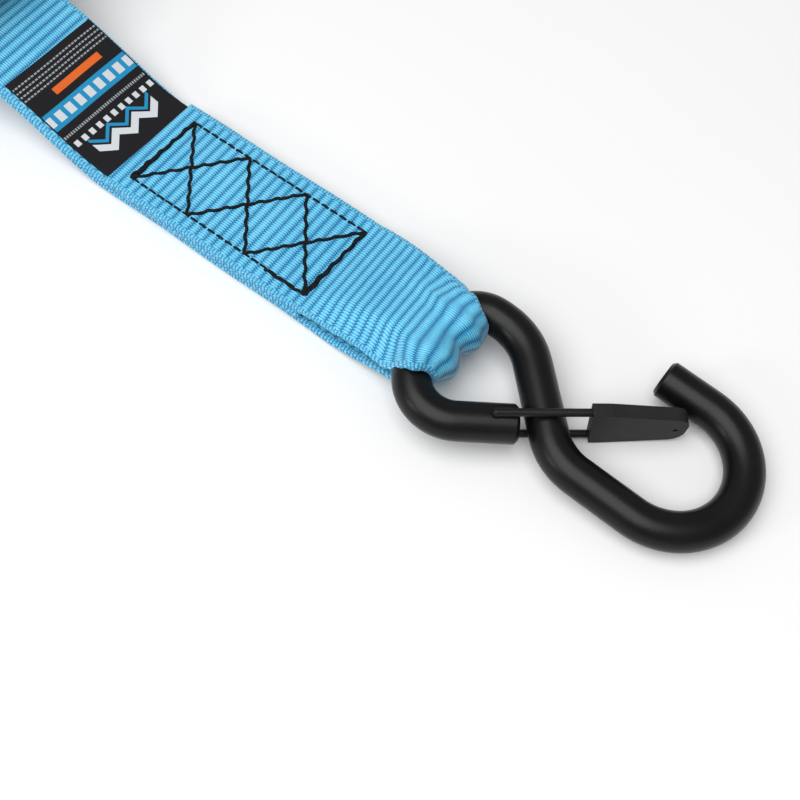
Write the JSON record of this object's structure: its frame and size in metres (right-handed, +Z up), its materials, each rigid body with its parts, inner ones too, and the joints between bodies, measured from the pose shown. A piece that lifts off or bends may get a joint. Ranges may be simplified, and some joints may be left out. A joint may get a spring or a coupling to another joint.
{
  "type": "ratchet tie down",
  "caption": "Ratchet tie down: webbing ratchet with a sewn short strap and a rolled long strap, each ending in a coated S-shaped hook with a sprung wire keeper.",
  "frame": {"origin": "on the ground, straight below the ratchet axle and midway between the hooks", "axes": "+X along the straps towards hook A and the short strap, +Y along the axle to the left frame plate, +Z up"},
  "size_m": [0.7536, 0.069, 0.0832],
  "materials": {
    "webbing": "ribbed woven polyester",
    "thread": "heavy polyester thread",
    "woven_label": "woven label, satin face",
    "band": "looped storage band",
    "coated_rod": "satin black coating",
    "keeper_wire": "black coated wire",
    "keeper_sleeve": "fine moulded texture",
    "frame_steel": "black powder coat",
    "zinc_steel": "zinc plated",
    "spring_steel": "drawn wire",
    "grip": "ribbed soft grip"
  },
  "bodies": {
    "frame": {"frame_plate_left": "frame_steel", "frame_plate_right": "frame_steel", "frame_cross_tie": "frame_steel", "anchor_bolt": "zinc_steel", "anchor_nut": "zinc_steel", "anchor_sleeve": "zinc_steel", "long_webbing": "webbing", "webbing_roll": "webbing", "roll_band": "band", "long_stitches": "thread", "lock_spring": "spring_steel"},
    "lock_slide": {"lock_pawl": "zinc_steel"},
    "spool": {"mandrel_upper": "zinc_steel", "mandrel_lower": "zinc_steel", "ratchet_wheel_left": "zinc_steel", "ratchet_wheel_right": "zinc_steel", "axle_washers": "zinc_steel", "axle_cotters": "zinc_steel"},
    "handle": {"handle_plate_left": "frame_steel", "handle_plate_right": "frame_steel", "handle_cross_bar": "zinc_steel", "handle_grip": "grip", "grip_rivets": "zinc_steel", "drive_spring": "spring_steel"},
    "drive_slide": {"drive_pawl": "zinc_steel"},
    "short_strap": {"fixed_webbing": "webbing", "fixed_stitches": "thread", "label": "woven_label"},
    "hook_a": {"hook_a_rod": "coated_rod"},
    "keeper_a": {"gate_a_wire": "keeper_wire", "gate_a_sleeve": "keeper_sleeve"},
    "hook_b": {"hook_b_rod": "coated_rod"},
    "keeper_b": {"gate_b_wire": "keeper_wire", "gate_b_sleeve": "keeper_sleeve"}
  },
  "joints": [
    {"name": "handle_swing", "type": "hinge", "parent": "frame", "child": "handle", "pos_m": [0, 0, 0.026], "axis": [0, -1, 0], "range_deg": [0, 180]},
    {"name": "spool_turn", "type": "hinge", "parent": "frame", "child": "spool", "pos_m": [0, 0, 0.026], "axis": [0, -1, 0], "continuous": true},
    {"name": "drive_pull", "type": "slide", "parent": "handle", "child": "drive_slide", "axis": [0.9659, 0, 0.2588], "range_m": [-0.003, 0.004], "stiffness_N_per_m": 400, "deforming": ["drive_spring"]},
    {"name": "lock_pull", "type": "slide", "parent": "frame", "child": "lock_slide", "axis": [0.9659, 0, -0.2588], "range_m": [-0.003, 0.003], "stiffness_N_per_m": 400, "deforming": ["lock_spring"]},
    {"name": "strap_swing", "type": "hinge", "parent": "frame", "child": "short_strap", "pos_m": [0.078, 0, 0.02], "axis": [0, -1, 0], "range_deg": [0, 15]},
    {"name": "hook_a_swing", "type": "hinge", "parent": "short_strap", "child": "hook_a", "pos_m": [0.284, 0, 0.0127], "axis": [0, -1, 0], "range_deg": [0, 90]},
    {"name": "keeper_a_open", "type": "hinge", "parent": "hook_a", "child": "keeper_a", "pos_m": [0.31052, -0.01541, 0.01047], "axis": [-0.0837, 0, -0.9965], "range_deg": [0, 17], "stiffness_Nm_per_rad": 0.04, "springref_deg": -17.19},
    {"name": "hook_b_swing", "type": "hinge", "parent": "frame", "child": "hook_b", "pos_m": [-0.284, 0, 0.0127], "axis": [0, 1, 0], "range_deg": [0, 90]},
    {"name": "keeper_b_open", "type": "hinge", "parent": "hook_b", "child": "keeper_b", "pos_m": [-0.31052, 0.01541, 0.01047], "axis": [0.0837, 0, -0.9965], "range_deg": [0, 17], "stiffness_Nm_per_rad": 0.04, "springref_deg": -17.19}
  ]
}
